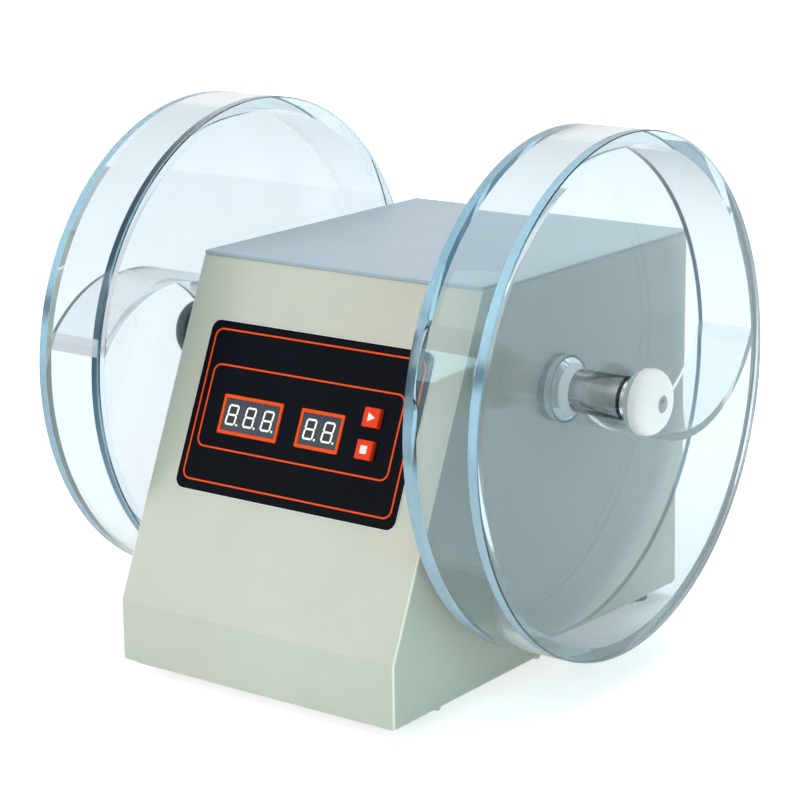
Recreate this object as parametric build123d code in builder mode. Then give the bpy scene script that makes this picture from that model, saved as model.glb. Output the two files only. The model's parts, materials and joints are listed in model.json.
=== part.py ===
from build123d import *
from math import acos, asin, atan2, cos, pi, radians, sin, tan
import os

os.makedirs("parts", exist_ok=True)

# Tablet friability tester: two clear drums on one shaft, driven from a cabinet between them.
# Millimetres. +X points to the right-hand drum as seen from the front, -Y to the front, +Z up.
# The origin lies on the bench, straight below the middle of the shaft.

# Cabinet
cabinet_width = 198
cabinet_height = 230  # from its bottom edge to the top cover's surface
cabinet_depth = 293
front_y = -148
lip_height = 37
slope_run = 84  # how far the sloping front leans back
sheet = 1.5
fold_radius = 1.8
flange = 14
foot_height = 8
plate = 2  # base plate and top cover

# Drums, after the pharmacopoeia: 283 to 291 inside diameter, 36 to 40 deep
drum_bore = 283
drum_wall = 8
drum_depth = 36
disc_thickness = 6
drum_face_x = 107.4
vane_inside_radius = 77
vane_thickness = 5
vane_centre_distance = 82.4
vane_centre_angle = 31.9  # right drum, from +Y towards +Z
left_drum_turn = 168  # the left drum stands turned on the shaft by this much
shaft_above_cabinet = 162
hub_radius = 12.5
hub_foot_radius = 18.5
hub_foot_run = 11  # the foot narrows to the tube over this length, from the back disc's outer face

# Shaft and what is on it
shaft_middle_radius = 9
journal_radius = 7.5
shaft_end_radius = 6
stud_radius = 4
bearing_x = 58
bearing_width = 9
journal_end_x = 97
shaft_end_x = 160
stud_end_x = 172
running_gap = 0.05
slip_gap = 0.1
drive_flange_radius = 19.5
drive_flange_thickness = 4
pin_radius = 2
pin_circle = 14

# Knob
knob_radius = 19
knob_back_x = 162
knob_front_x = 176
knob_edge_round = 8
knob_back_bevel = 2.5
knob_crown = 2  # how far the front rises from its edge to its middle
collar_flange_radius = 15.5
washer_radius = 16.5
washer_thickness = 2

# Gear pair
gear_module = 1.25
gear_teeth = 60
pinion_teeth = 20
pressure_angle = radians(20)
tooth_thinning = 0.12  # taken off every tooth at the pitch circle, for backlash

# Control panel, in the plane of the slope: u along X, v up the slope from the lip
overlay_size = (158, 100)
overlay_centre = (0, 121)
overlay_corner = 6
overlay_thickness = 0.8
turns_display = (-35.75, 117.5, 43.5, 23)  # centre u, centre v, width, height of its frame
speed_display = (14.6, 117.5, 30.8, 22.5)
display_frame_width = 2
display_frame_height = 1.4
button_size = 11
button_spots = {"start": (49, 130), "reset": (49, 111.7)}
button_height = 3.6
board_depth = 8.3  # from the slope's outside down to the control board

# Worked out from the above
half_width = cabinet_width / 2
cabinet_bottom = foot_height + plate
axis_height = cabinet_bottom + shaft_above_cabinet
top_z = cabinet_bottom + cabinet_height
shell_top = top_z - plate
lip_z = cabinet_bottom + lip_height
lean = atan2(slope_run, top_z - lip_z)
shell_front_top = front_y + (shell_top - lip_z) * tan(lean)
back_y = front_y + cabinet_depth
shell_back = back_y - sheet
drum_radius = drum_bore / 2 + drum_wall
disc_in_x = drum_face_x + disc_thickness
cover_x = disc_in_x + drum_depth
cover_out_x = cover_x + disc_thickness
gear_radius = gear_module * gear_teeth / 2
pinion_radius = gear_module * pinion_teeth / 2
pinion_z = axis_height - gear_radius - pinion_radius

slope_plane = Plane(
    origin=(0, front_y, lip_z), x_dir=(1, 0, 0), z_dir=(0, -cos(lean), sin(lean))
)
turning_plane = Plane(origin=(0, 0, axis_height), x_dir=(1, 0, 0), z_dir=(0, -1, 0))
shaft_axis = Axis((0, 0, axis_height), (1, 0, 0))
slope_axis = Axis(slope_plane.origin, slope_plane.z_dir)
sides = ("left", "right")


def across(x, z=axis_height):
    """A plane square to the shaft at x: its own x runs along Y, its own y up, its normal along +X."""
    return Plane(origin=(x, 0, z), x_dir=(0, 1, 0), z_dir=(1, 0, 0))


def slope_at(depth):
    """The plane of the slope, lifted off it by depth; a negative depth lies inside the cabinet."""
    return slope_plane.offset(depth)


def turned_over(plane):
    """The same plane seen from behind: its normal and its own y point the other way."""
    return Plane(plane.origin, x_dir=plane.x_dir, z_dir=-plane.z_dir)


# Cabinet shell: one folded sheet with a lip, a sloping front, sides, and flanges round its openings
cabinet_outline = [
    (front_y, cabinet_bottom),
    (front_y, lip_z),
    (shell_front_top, shell_top),
    (shell_back, shell_top),
    (shell_back, cabinet_bottom),
]
rear_spots = [(x, z) for x in (-92, 92) for z in (36, 120, 204)]
top_screw_z = shell_top - flange / 2
top_spots = [(x, top_screw_z) for x in (-70, 0, 70)]
base_spots = [(x, y) for x in (-92, 92) for y in (-100, 0, 100)]
foot_spots = [(-72, -108), (72, -108), (-80, 124), (80, 124)]
frame_spots = [(x, y) for x in (-40, 40) for y in (-55, 55)]
seal_radius = 17
screw_radius = 1.6
standoff_spots = [(u, v) for u in (-70, 70) for v in (84, 152)]
opening_corner = 3
display_cut = 3  # the openings in the sheet are this much smaller than the display frames

with BuildPart() as cabinet_shell:
    with BuildSketch(Plane.YZ.offset(-half_width)):
        with BuildLine():
            Polyline(*cabinet_outline, close=True)
        make_face()
    extrude(amount=cabinet_width)
    fillet(cabinet_shell.edges(), radius=fold_radius)
    with BuildSketch(Plane.YZ.offset(sheet - half_width)):
        with BuildLine():
            Polyline(*cabinet_outline, close=True)
        make_face()
        offset(amount=-sheet, kind=Kind.INTERSECTION)
    extrude(amount=cabinet_width - 2 * sheet, mode=Mode.SUBTRACT)
    for level, front_edge in ((shell_top - sheet, shell_front_top), (cabinet_bottom, front_y)):
        opening_length = shell_back - front_edge - 2 * flange
        with BuildSketch(Plane.XY.offset(level)):
            with Locations((0, (front_edge + shell_back) / 2)):
                RectangleRounded(cabinet_width - 2 * flange, opening_length, opening_corner)
        extrude(amount=sheet, mode=Mode.SUBTRACT)
    with BuildSketch(Plane.XZ.offset(-shell_back)):
        with Locations((0, (cabinet_bottom + shell_top) / 2)):
            opening_height = shell_top - cabinet_bottom - 2 * flange
            RectangleRounded(cabinet_width - 2 * flange, opening_height, opening_corner)
    extrude(amount=sheet, mode=Mode.SUBTRACT)
    with BuildSketch(Plane.XZ.offset(-shell_back)):
        with Locations(*rear_spots, *top_spots):
            Circle(screw_radius)
    extrude(amount=sheet, mode=Mode.SUBTRACT)
    with BuildSketch(Plane.XY.offset(cabinet_bottom)):
        with Locations(*base_spots):
            Circle(screw_radius)
    extrude(amount=sheet, mode=Mode.SUBTRACT)
    with BuildSketch(across(-half_width)):
        Circle(seal_radius)
    extrude(amount=cabinet_width, mode=Mode.SUBTRACT)
    with BuildSketch(slope_at(0)):
        for u, v, width, height in (turns_display, speed_display):
            with Locations((u, v)):
                Rectangle(width - display_cut, height - display_cut)
        with Locations(*button_spots.values()):
            Rectangle(button_size + 1, button_size + 1)
    extrude(amount=-2 * sheet, mode=Mode.SUBTRACT)
cabinet_shell.part.label = "cabinet_shell"
export_step(cabinet_shell.part, "parts/cabinet_shell.step")

# Top cover: a plate over the shell's upper flange, turned down behind the rear panel
cover_flange = 14
cover_edge_round = 0.7
with BuildPart() as top_cover:
    with BuildSketch(Plane.XY.offset(shell_top)):
        with Locations((0, (shell_front_top + back_y + sheet) / 2)):
            RectangleRounded(cabinet_width, back_y + sheet - shell_front_top, fold_radius)
    extrude(amount=plate)
    fillet(top_cover.faces().sort_by(Axis.Z)[-1].edges(), radius=cover_edge_round)
    with BuildSketch(Plane.XZ.offset(-back_y)):
        with Locations((0, shell_top - cover_flange / 2)):
            Rectangle(cabinet_width - 2 * fold_radius, cover_flange)
    extrude(amount=-sheet)
    with BuildSketch(Plane.XZ.offset(-back_y)):
        with Locations(*top_spots):
            Circle(screw_radius)
    extrude(amount=-sheet, mode=Mode.SUBTRACT)
top_cover.part.label = "top_cover"
export_step(top_cover.part, "parts/top_cover.step")

# Rear panel, with vent slots, the mains inlet's opening and the switch's opening
panel_margin = 1
panel_corner = 2
inlet_centre = (48, 52)
inlet_opening = (30, 36)
switch_centre = (8, 52)
switch_opening = (19, 27)
vent_rows = 7
vent_pitch = 8
vent_slot = (44, 3)
vent_columns_apart = 52
vent_middle_z = 165
with BuildPart() as rear_panel:
    with BuildSketch(Plane.XZ.offset(-shell_back)):
        with Locations((0, (cabinet_bottom + shell_top) / 2)):
            panel_height = shell_top - cabinet_bottom - 2 * panel_margin
            RectangleRounded(cabinet_width - 2 * panel_margin, panel_height, panel_corner)
        with Locations(*rear_spots, *top_spots):
            Circle(screw_radius, mode=Mode.SUBTRACT)
        with Locations(inlet_centre):
            Rectangle(*inlet_opening, mode=Mode.SUBTRACT)
        with Locations(switch_centre):
            Rectangle(*switch_opening, mode=Mode.SUBTRACT)
        with Locations((0, vent_middle_z)):
            with GridLocations(vent_columns_apart, vent_pitch, 2, vent_rows):
                SlotOverall(*vent_slot, mode=Mode.SUBTRACT)
    extrude(amount=-sheet)
rear_panel.part.label = "rear_panel"
export_step(rear_panel.part, "parts/rear_panel.step")

# Base plate under the shell's lower flange
base_margin = 4
base_corner = 4
with BuildPart() as base_plate:
    with BuildSketch(Plane.XY.offset(foot_height)):
        with Locations((0, (front_y + shell_back) / 2)):
            base_length = shell_back - front_y - 2 * base_margin
            RectangleRounded(cabinet_width - 2 * base_margin, base_length, base_corner)
        with Locations(*base_spots, *foot_spots, *frame_spots):
            Circle(screw_radius, mode=Mode.SUBTRACT)
    extrude(amount=plate)
base_plate.part.label = "base_plate"
export_step(base_plate.part, "parts/base_plate.step")

# Four rubber feet, tapered, each with a sunk hole for its screw
foot_radius = 10
foot_taper = 12  # degrees
foot_hole_radius = 4
foot_sink = 3.5  # depth of the hole that takes the screw's head
with BuildPart() as rubber_feet:
    with BuildSketch(Plane.XY.offset(foot_height)):
        with Locations(*foot_spots):
            Circle(foot_radius)
    extrude(amount=-foot_height, taper=foot_taper)
    with BuildSketch(Plane.XY):
        with Locations(*foot_spots):
            Circle(foot_hole_radius)
    extrude(amount=foot_sink, mode=Mode.SUBTRACT)
    with BuildSketch(Plane.XY):
        with Locations(*foot_spots):
            Circle(screw_radius)
    extrude(amount=foot_height, mode=Mode.SUBTRACT)
rubber_feet.part.label = "rubber_feet"
export_step(rubber_feet.part, "parts/rubber_feet.step")


# Screws: a domed head on one plane, its shank through the plates behind it
head_radius = 3
head_height = 2
head_taper = 20  # degrees


def screws(plane, spots, length, from_behind=False):
    """A row of pan-head screws: heads stand on the plane, shanks reach length below it."""
    if from_behind:
        plane = turned_over(plane)
        spots = [(left, -up) for left, up in spots]
    with BuildPart() as row:
        with BuildSketch(plane):
            with Locations(*spots):
                Circle(head_radius)
        extrude(amount=head_height, taper=head_taper)
        with BuildSketch(plane):
            with Locations(*spots):
                Circle(screw_radius)
        extrude(amount=-length)
    return row


with BuildPart() as underside_screws:
    add(screws(Plane.XY.offset(foot_sink), foot_spots, foot_height, from_behind=True).part)
    plate_spots = base_spots + frame_spots
    add(screws(Plane.XY.offset(foot_height), plate_spots, plate + sheet, from_behind=True).part)
underside_screws.part.label = "underside_screws"
export_step(underside_screws.part, "parts/underside_screws.step")

with BuildPart() as rear_screws:
    add(screws(Plane.XZ.offset(-back_y), rear_spots, 2 * sheet, from_behind=True).part)
    add(screws(Plane.XZ.offset(-back_y - sheet), top_spots, 3 * sheet, from_behind=True).part)
rear_screws.part.label = "rear_screws"
export_step(rear_screws.part, "parts/rear_screws.step")

# Control overlay on the slope, with openings for both display frames and both buttons
with BuildPart() as control_overlay:
    with BuildSketch(slope_at(0)):
        with Locations(overlay_centre):
            RectangleRounded(*overlay_size, overlay_corner)
        for u, v, width, height in (turns_display, speed_display):
            with Locations((u, v)):
                Rectangle(width, height, mode=Mode.SUBTRACT)
        with Locations(*button_spots.values()):
            Rectangle(button_size + 1, button_size + 1, mode=Mode.SUBTRACT)
    extrude(amount=overlay_thickness)
control_overlay.part.label = "control_overlay"
export_step(control_overlay.part, "parts/control_overlay.step")

# Display frames: a raised rim round each window
frame_corner = 0.8
frame_bevel = 0.4
with BuildPart() as display_frames:
    with BuildSketch(slope_at(0)):
        for u, v, width, height in (turns_display, speed_display):
            with Locations((u, v)):
                RectangleRounded(width, height, frame_corner)
                Rectangle(
                    width - 2 * display_frame_width,
                    height - 2 * display_frame_width,
                    mode=Mode.SUBTRACT,
                )
    extrude(amount=display_frame_height)
    chamfer(display_frames.faces().group_by(slope_axis)[-1].edges(), length=frame_bevel)
display_frames.part.label = "display_frames"
export_step(display_frames.part, "parts/display_frames.step")

# Smoked windows inside the frames
window_thickness = 0.8
with BuildPart() as display_windows:
    with BuildSketch(slope_at(0)):
        for u, v, width, height in (turns_display, speed_display):
            with Locations((u, v)):
                Rectangle(width - 2 * display_frame_width, height - 2 * display_frame_width)
    extrude(amount=window_thickness)
display_windows.part.label = "display_windows"
export_step(display_windows.part, "parts/display_windows.step")


# Seven-segment display modules: a block from the board up to the window
module_gap = 0.5  # all round, between the module and the opening in the sheet


def display_module(display):
    """The display block behind one window, standing on the control board."""
    u, v, width, height = display
    with BuildPart() as module:
        with BuildSketch(slope_at(-board_depth)):
            with Locations((u, v)):
                Rectangle(
                    width - display_cut - 2 * module_gap, height - display_cut - 2 * module_gap
                )
        extrude(amount=board_depth)
    return module


turns_module = display_module(turns_display)
turns_module.part.label = "turns_module"
export_step(turns_module.part, "parts/turns_module.step")

speed_module = display_module(speed_display)
speed_module.part.label = "speed_module"
export_step(speed_module.part, "parts/speed_module.step")

# Control board behind the slope, hung from it on four standoffs
board_size = (150, 82)
board_centre = (0, 118)
board_thickness = 1.6
key_hole_radius = 2.1
with BuildPart() as control_board:
    with BuildSketch(slope_at(-board_depth)):
        with Locations(board_centre):
            Rectangle(*board_size)
        with Locations(*standoff_spots):
            Circle(screw_radius, mode=Mode.SUBTRACT)
    extrude(amount=-board_thickness)
control_board.part.label = "control_board"
export_step(control_board.part, "parts/control_board.step")

board_screws = screws(
    slope_at(-board_depth - board_thickness), standoff_spots, board_thickness, from_behind=True
)
board_screws.part.label = "board_screws"
export_step(board_screws.part, "parts/board_screws.step")

# Key switches on the board, and the square button caps whose stems run in them
key_height = 3.8
key_floor = 0.8
stem_radius = 1.8
stem_length = 2.6
key_corner = 1
cap_corner = 0.8
cap_edge_round = 0.7
cap_foot = -3.2  # the cap's underside, from the slope's outside
with BuildPart() as key_switches:
    with BuildSketch(slope_at(-board_depth)):
        with Locations(*button_spots.values()):
            RectangleRounded(button_size, button_size, key_corner)
    extrude(amount=key_height)
    with BuildSketch(slope_at(-board_depth + key_floor)):
        with Locations(*button_spots.values()):
            Circle(key_hole_radius)
    extrude(amount=key_height, mode=Mode.SUBTRACT)
key_switches.part.label = "key_switches"
export_step(key_switches.part, "parts/key_switches.step")

for button, spot in button_spots.items():
    with BuildPart() as cap:
        with BuildSketch(slope_at(cap_foot)):
            with Locations(spot):
                RectangleRounded(button_size, button_size, cap_corner)
        extrude(amount=button_height - cap_foot)
        fillet(cap.faces().sort_by(slope_axis)[-1].edges(), radius=cap_edge_round)
        with BuildSketch(slope_at(cap_foot)):
            with Locations(spot):
                Circle(stem_radius)
        extrude(amount=-stem_length)
    cap.part.label = f"{button}_button"
    export_step(cap.part, f"parts/{button}_button.step")

# Drive frame: a U of folded steel on the base plate, with two tapering uprights for the bearings
frame_half = 63
frame_sheet = 3
frame_length = 140
upright_radius = 34
boss_radius = 21
bearing_screw_circle = 25
pilot_radius = 11
upright_slot = (70, 30)
upright_slot_z = -105  # from the shaft
motor_spots = [(y, z) for y in (-24, 24) for z in (-22, 22)]
with BuildPart() as drive_frame:
    with BuildSketch(Plane.XY.offset(cabinet_bottom)):
        Rectangle(2 * frame_half, frame_length)
        with Locations(*frame_spots):
            Circle(screw_radius, mode=Mode.SUBTRACT)
    extrude(amount=frame_sheet)
    for x in (-frame_half, frame_half - frame_sheet):
        with BuildSketch(across(x)):
            Circle(upright_radius)
            with Locations((0, cabinet_bottom + frame_sheet / 2 - axis_height)):
                Rectangle(frame_length, frame_sheet)
            make_hull()
        extrude(amount=frame_sheet)
        with BuildSketch(across(x)):
            Circle(boss_radius)
            with PolarLocations(bearing_screw_circle, 4, start_angle=45):
                Circle(screw_radius)
            with Locations((0, upright_slot_z)):
                SlotOverall(*upright_slot)
        extrude(amount=frame_sheet, mode=Mode.SUBTRACT)
    with BuildSketch(across(frame_half - frame_sheet, pinion_z)):
        Circle(pilot_radius)
        with Locations(*motor_spots):
            Circle(screw_radius)
    extrude(amount=frame_sheet, mode=Mode.SUBTRACT)
drive_frame.part.label = "drive_frame"
export_step(drive_frame.part, "parts/drive_frame.step")

# Bearing housings: a round flange on each upright with a boss through it, bored for the bearing
housing_flange_radius = 30
housing_flange = 5
boss_length = 16
bearing_outer_radius = 16
housing_shoulder_radius = 13
housing_out_x = frame_half + housing_flange
for side in sides:
    with BuildPart() as housing:
        with BuildSketch(across(frame_half)):
            Circle(housing_flange_radius)
        extrude(amount=housing_flange)
        with BuildSketch(across(housing_out_x)):
            Circle(boss_radius)
        extrude(amount=-boss_length)
        with BuildSketch(across(housing_out_x)):
            Circle(bearing_outer_radius)
        extrude(amount=bearing_x - housing_out_x, mode=Mode.SUBTRACT)
        with BuildSketch(across(housing_out_x)):
            Circle(housing_shoulder_radius)
        extrude(amount=-boss_length, mode=Mode.SUBTRACT)
        with BuildSketch(across(frame_half)):
            with PolarLocations(bearing_screw_circle, 4, start_angle=45):
                Circle(screw_radius)
        extrude(amount=housing_flange, mode=Mode.SUBTRACT)
        if side == "left":
            mirror(about=Plane.YZ, mode=Mode.REPLACE)
    housing.part.label = f"{side}_bearing_housing"
    export_step(housing.part, f"parts/{side}_bearing_housing.step")


# Ball bearings: outer rings fixed in the housings, inner rings on the shaft, eight balls each
inner_ring_radius = 9.6
outer_ring_bore = 13.9
ball_radius = 2.1
with BuildPart() as bearing_outer_rings:
    with BuildSketch(across(bearing_x)):
        Circle(bearing_outer_radius)
        Circle(outer_ring_bore, mode=Mode.SUBTRACT)
    extrude(amount=bearing_width)
    mirror(about=Plane.YZ)
bearing_outer_rings.part.label = "bearing_outer_rings"
export_step(bearing_outer_rings.part, "parts/bearing_outer_rings.step")

with BuildPart() as bearing_inner_rings:
    with BuildSketch(across(bearing_x)):
        Circle(inner_ring_radius)
        Circle(journal_radius, mode=Mode.SUBTRACT)
    extrude(amount=bearing_width)
    mirror(about=Plane.YZ)
bearing_inner_rings.part.label = "bearing_inner_rings"
export_step(bearing_inner_rings.part, "parts/bearing_inner_rings.step")

with BuildPart() as bearing_balls:
    with Locations(across(bearing_x + bearing_width / 2)):
        with PolarLocations((inner_ring_radius + outer_ring_bore) / 2, 8):
            Sphere(ball_radius)
    mirror(about=Plane.YZ)
bearing_balls.part.label = "bearing_balls"
export_step(bearing_balls.part, "parts/bearing_balls.step")

# Shaft seals: a grooved ring snapped into each side panel
seal_bore = 12.3
seal_lip = 2.5
seal_thickness = 1.2
with BuildPart() as shaft_seals:
    with BuildSketch(across(half_width - sheet - seal_thickness)):
        Circle(seal_radius + seal_lip)
        Circle(seal_bore, mode=Mode.SUBTRACT)
    extrude(amount=seal_thickness)
    with BuildSketch(across(half_width - sheet)):
        Circle(seal_radius)
        Circle(seal_bore, mode=Mode.SUBTRACT)
    extrude(amount=sheet)
    with BuildSketch(across(half_width)):
        Circle(seal_radius + seal_lip)
        Circle(seal_bore, mode=Mode.SUBTRACT)
    extrude(amount=seal_thickness)
    mirror(about=Plane.YZ)
shaft_seals.part.label = "shaft_seals"
export_step(shaft_seals.part, "parts/shaft_seals.step")

# Main shaft, stepped down from the middle to a stud at each end
with BuildPart() as main_shaft:
    with BuildSketch(turning_plane):
        with BuildLine():
            Polyline(
                (0, 0),
                (0, shaft_middle_radius),
                (bearing_x, shaft_middle_radius),
                (bearing_x, journal_radius),
                (journal_end_x, journal_radius),
                (journal_end_x, shaft_end_radius),
                (shaft_end_x, shaft_end_radius),
                (shaft_end_x, stud_radius),
                (stud_end_x - 1, stud_radius),
                (stud_end_x, stud_radius - 1),
                (stud_end_x, 0),
                close=True,
            )
        make_face()
        mirror(about=Plane.YZ)
    revolve(axis=shaft_axis)
main_shaft.part.label = "main_shaft"
export_step(main_shaft.part, "parts/main_shaft.step")


# Gears
def half_tooth(teeth, radius):
    """Half a tooth's angle at a radius: the involute beyond the base circle, radial inside it."""
    pitch = gear_module * teeth / 2
    base = pitch * cos(pressure_angle)
    pressure_here = acos(min(1, base / max(radius, base)))
    at_pitch = pi / (2 * teeth) - tooth_thinning / (2 * pitch)
    return at_pitch + tan(pressure_angle) - pressure_angle - tan(pressure_here) + pressure_here


def polar(radius, angle):
    """A point by its radius and its angle in radians."""
    return (radius * cos(angle), radius * sin(angle))


def gear_outline(teeth, first_tooth):
    """A spur gear's outline as a sketch: root arcs, involute flanks as arcs, tip arcs."""
    pitch = gear_module * teeth / 2
    root = pitch - 1.25 * gear_module
    tip = pitch + gear_module
    foot = max(root, pitch * cos(pressure_angle))
    middle = (foot + tip) / 2
    step = 2 * pi / teeth
    root_angle = half_tooth(teeth, root)
    with BuildSketch() as outline:
        with BuildLine():
            for tooth in range(teeth):
                at = first_tooth + tooth * step
                rise = [polar(r, at - half_tooth(teeth, r)) for r in (foot, middle, tip)]
                fall = [polar(r, at + half_tooth(teeth, r)) for r in (tip, middle, foot)]
                if foot > root:
                    Line(polar(root, at - root_angle), rise[0])
                    Line(fall[-1], polar(root, at + root_angle))
                ThreePointArc(*rise)
                ThreePointArc(rise[-1], polar(tip, at), fall[0])
                ThreePointArc(*fall)
                ThreePointArc(
                    polar(root, at + root_angle),
                    polar(root, at + step / 2),
                    polar(root, at + step - root_angle),
                )
        make_face()
    return outline.sketch_local


gear_x = 72
gear_face = 8
gear_web = 4
gear_hub_radius = 14
gear_hub_in_x = 69
gear_hub_out_x = 84
gear_rim = 6
gear_hole_radius = 6
with BuildPart() as drive_gear:
    with BuildSketch(across(gear_x)):
        add(gear_outline(gear_teeth, 0))
    extrude(amount=gear_face)
    with BuildSketch(across(gear_hub_in_x)):
        Circle(gear_hub_radius)
    extrude(amount=gear_hub_out_x - gear_hub_in_x)
    for level, cut in ((gear_x, gear_web / 2), (gear_x + gear_face, -gear_web / 2)):
        with BuildSketch(across(level)):
            Circle(gear_radius - gear_rim)
            Circle(gear_hub_radius, mode=Mode.SUBTRACT)
        extrude(amount=cut, mode=Mode.SUBTRACT)
    with BuildSketch(across(gear_x)):
        with PolarLocations((gear_hub_radius + gear_radius - gear_rim) / 2, 5):
            Circle(gear_hole_radius)
    extrude(amount=gear_face, mode=Mode.SUBTRACT)
    with BuildSketch(across(gear_hub_in_x)):
        Circle(journal_radius)
    extrude(amount=gear_hub_out_x - gear_hub_in_x, mode=Mode.SUBTRACT)
drive_gear.part.label = "drive_gear"
export_step(drive_gear.part, "parts/drive_gear.step")

output_radius = 5
pinion_face = 10
pinion_x = gear_x - (pinion_face - gear_face) / 2
with BuildPart() as motor_pinion:
    with BuildSketch(across(pinion_x, pinion_z)):
        add(gear_outline(pinion_teeth, pi / pinion_teeth))
        Circle(output_radius, mode=Mode.SUBTRACT)
    extrude(amount=pinion_face)
motor_pinion.part.label = "motor_pinion"
export_step(motor_pinion.part, "parts/motor_pinion.step")

output_depth = 12
output_bevel = 0.8
with BuildPart() as output_shaft:
    with BuildSketch(across(frame_half - frame_sheet - output_depth, pinion_z)):
        Circle(output_radius)
    extrude(amount=gear_x + pinion_face - frame_half + frame_sheet + output_depth)
    chamfer(output_shaft.edges().sort_by(Axis.X)[-1], length=output_bevel)
output_shaft.part.label = "output_shaft"
export_step(output_shaft.part, "parts/output_shaft.step")

# Gearbox and motor on the right-hand upright's inside
gearbox_size = (60, 56, 30)
gearbox_corner = 5
pilot_length = frame_sheet + 1
screw_bite = 6
motor_radius = 25
motor_length = 55
motor_bevel = 2
end_boss_radius = 8
end_boss_length = 4
gearbox_x = frame_half - frame_sheet
with BuildPart() as gearbox:
    with BuildSketch(across(gearbox_x, pinion_z)):
        RectangleRounded(gearbox_size[0], gearbox_size[1], gearbox_corner)
    extrude(amount=-gearbox_size[2])
    with BuildSketch(across(gearbox_x, pinion_z)):
        Circle(pilot_radius)
    extrude(amount=pilot_length)
    with BuildSketch(across(gearbox_x + pilot_length, pinion_z)):
        Circle(output_radius + running_gap)
    extrude(amount=-pilot_length - output_depth, mode=Mode.SUBTRACT)
    with BuildSketch(across(gearbox_x, pinion_z)):
        with Locations(*motor_spots):
            Circle(screw_radius)
    extrude(amount=-screw_bite, mode=Mode.SUBTRACT)
gearbox.part.label = "gearbox"
export_step(gearbox.part, "parts/gearbox.step")

with BuildPart() as motor:
    with BuildSketch(across(gearbox_x - gearbox_size[2], pinion_z)):
        Circle(motor_radius)
    extrude(amount=-motor_length)
    chamfer(motor.edges().sort_by(Axis.X)[0], length=motor_bevel)
    with BuildSketch(across(gearbox_x - gearbox_size[2] - motor_length, pinion_z)):
        Circle(end_boss_radius)
    extrude(amount=-end_boss_length)
motor.part.label = "motor"
export_step(motor.part, "parts/motor.step")

# Screws that hold the bearing housings and the gearbox to the uprights
bearing_screw_spots = [
    (bearing_screw_circle * cos(radians(a)), bearing_screw_circle * sin(radians(a)))
    for a in (45, 135, 225, 315)
]
with BuildPart() as frame_screws:
    add(screws(across(housing_out_x), bearing_screw_spots, housing_flange + frame_sheet).part)
    mirror(about=Plane.YZ)
    add(screws(across(frame_half, pinion_z), motor_spots, frame_sheet + screw_bite).part)
frame_screws.part.label = "frame_screws"
export_step(frame_screws.part, "parts/frame_screws.step")

# Slotted counting disc on the shaft's left half, and the light barrier that it runs through
counter_x = -72
counter_thickness = 1.5
counter_radius = 31
counter_hub_radius = 12
counter_hub_x = counter_x - 5
counter_hub_length = 8
counter_slots = 12
counter_slot = (5, 2.5)
slot_circle = 26.5
with BuildPart() as counting_disc:
    with BuildSketch(across(counter_x - counter_thickness / 2)):
        Circle(counter_radius)
        with PolarLocations(slot_circle, counter_slots):
            Rectangle(*counter_slot, mode=Mode.SUBTRACT)
    extrude(amount=counter_thickness)
    with BuildSketch(across(counter_hub_x)):
        Circle(counter_hub_radius)
    extrude(amount=counter_hub_length)
    with BuildSketch(across(counter_hub_x)):
        Circle(journal_radius)
    extrude(amount=counter_hub_length, mode=Mode.SUBTRACT)
counting_disc.part.label = "counting_disc"
export_step(counting_disc.part, "parts/counting_disc.step")

sensor_low = 46
sensor_high = 24
sensor_slot_floor = 36
sensor_pad_high = 34
sensor_half_slot = 1.8
sensor_half_body = 5.5
sensor_pad_step = 2
sensor_width = 12
with BuildPart() as turn_sensor:
    with BuildSketch(Plane.XZ.offset(-sensor_width / 2)):
        with BuildLine():
            Polyline(
                (counter_x - sensor_half_body, axis_height - sensor_low),
                (counter_x - sensor_half_body, axis_height - sensor_high),
                (counter_x - sensor_half_slot, axis_height - sensor_high),
                (counter_x - sensor_half_slot, axis_height - sensor_slot_floor),
                (counter_x + sensor_half_slot, axis_height - sensor_slot_floor),
                (counter_x + sensor_half_slot, axis_height - sensor_high),
                (counter_x + sensor_half_body - sensor_pad_step, axis_height - sensor_high),
                (counter_x + sensor_half_body - sensor_pad_step, axis_height - sensor_pad_high),
                (-frame_half, axis_height - sensor_pad_high),
                (-frame_half, axis_height - sensor_low),
                close=True,
            )
        make_face()
    extrude(amount=sensor_width)
turn_sensor.part.label = "turn_sensor"
export_step(turn_sensor.part, "parts/turn_sensor.step")

# Power supply: a board on four standoffs in front of the frame, with transformer and capacitors
supply_y = -103
supply_size = (150, 50)
supply_standoff = 6
standoff_radius = 3.4
supply_spots = [(x, supply_y + y) for x in (-70, 70) for y in (-20, 20)]
supply_z = cabinet_bottom + supply_standoff
with BuildPart() as standoffs:
    with BuildSketch(Plane.XY.offset(cabinet_bottom)):
        with Locations(*supply_spots):
            RegularPolygon(standoff_radius, 6)
    extrude(amount=supply_standoff)
    with BuildSketch(slope_at(-sheet)):
        with Locations(*standoff_spots):
            RegularPolygon(standoff_radius, 6)
    extrude(amount=sheet - board_depth)
standoffs.part.label = "standoffs"
export_step(standoffs.part, "parts/standoffs.step")

transformer_size = (48, 40, 34)
transformer_x = -40
capacitor_radius = 9
capacitor_height = 26
capacitor_spots = [(14, supply_y), (38, supply_y)]
with BuildPart() as power_supply:
    with BuildSketch(Plane.XY.offset(supply_z)):
        with Locations((0, supply_y)):
            Rectangle(*supply_size)
    extrude(amount=board_thickness)
    with BuildSketch(Plane.XY.offset(supply_z + board_thickness)):
        with Locations((transformer_x, supply_y)):
            Rectangle(transformer_size[0], transformer_size[1])
    extrude(amount=transformer_size[2])
    with BuildSketch(Plane.XY.offset(supply_z + board_thickness)):
        with Locations(*capacitor_spots):
            Circle(capacitor_radius)
    extrude(amount=capacitor_height)
power_supply.part.label = "power_supply"
export_step(power_supply.part, "parts/power_supply.step")

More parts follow.
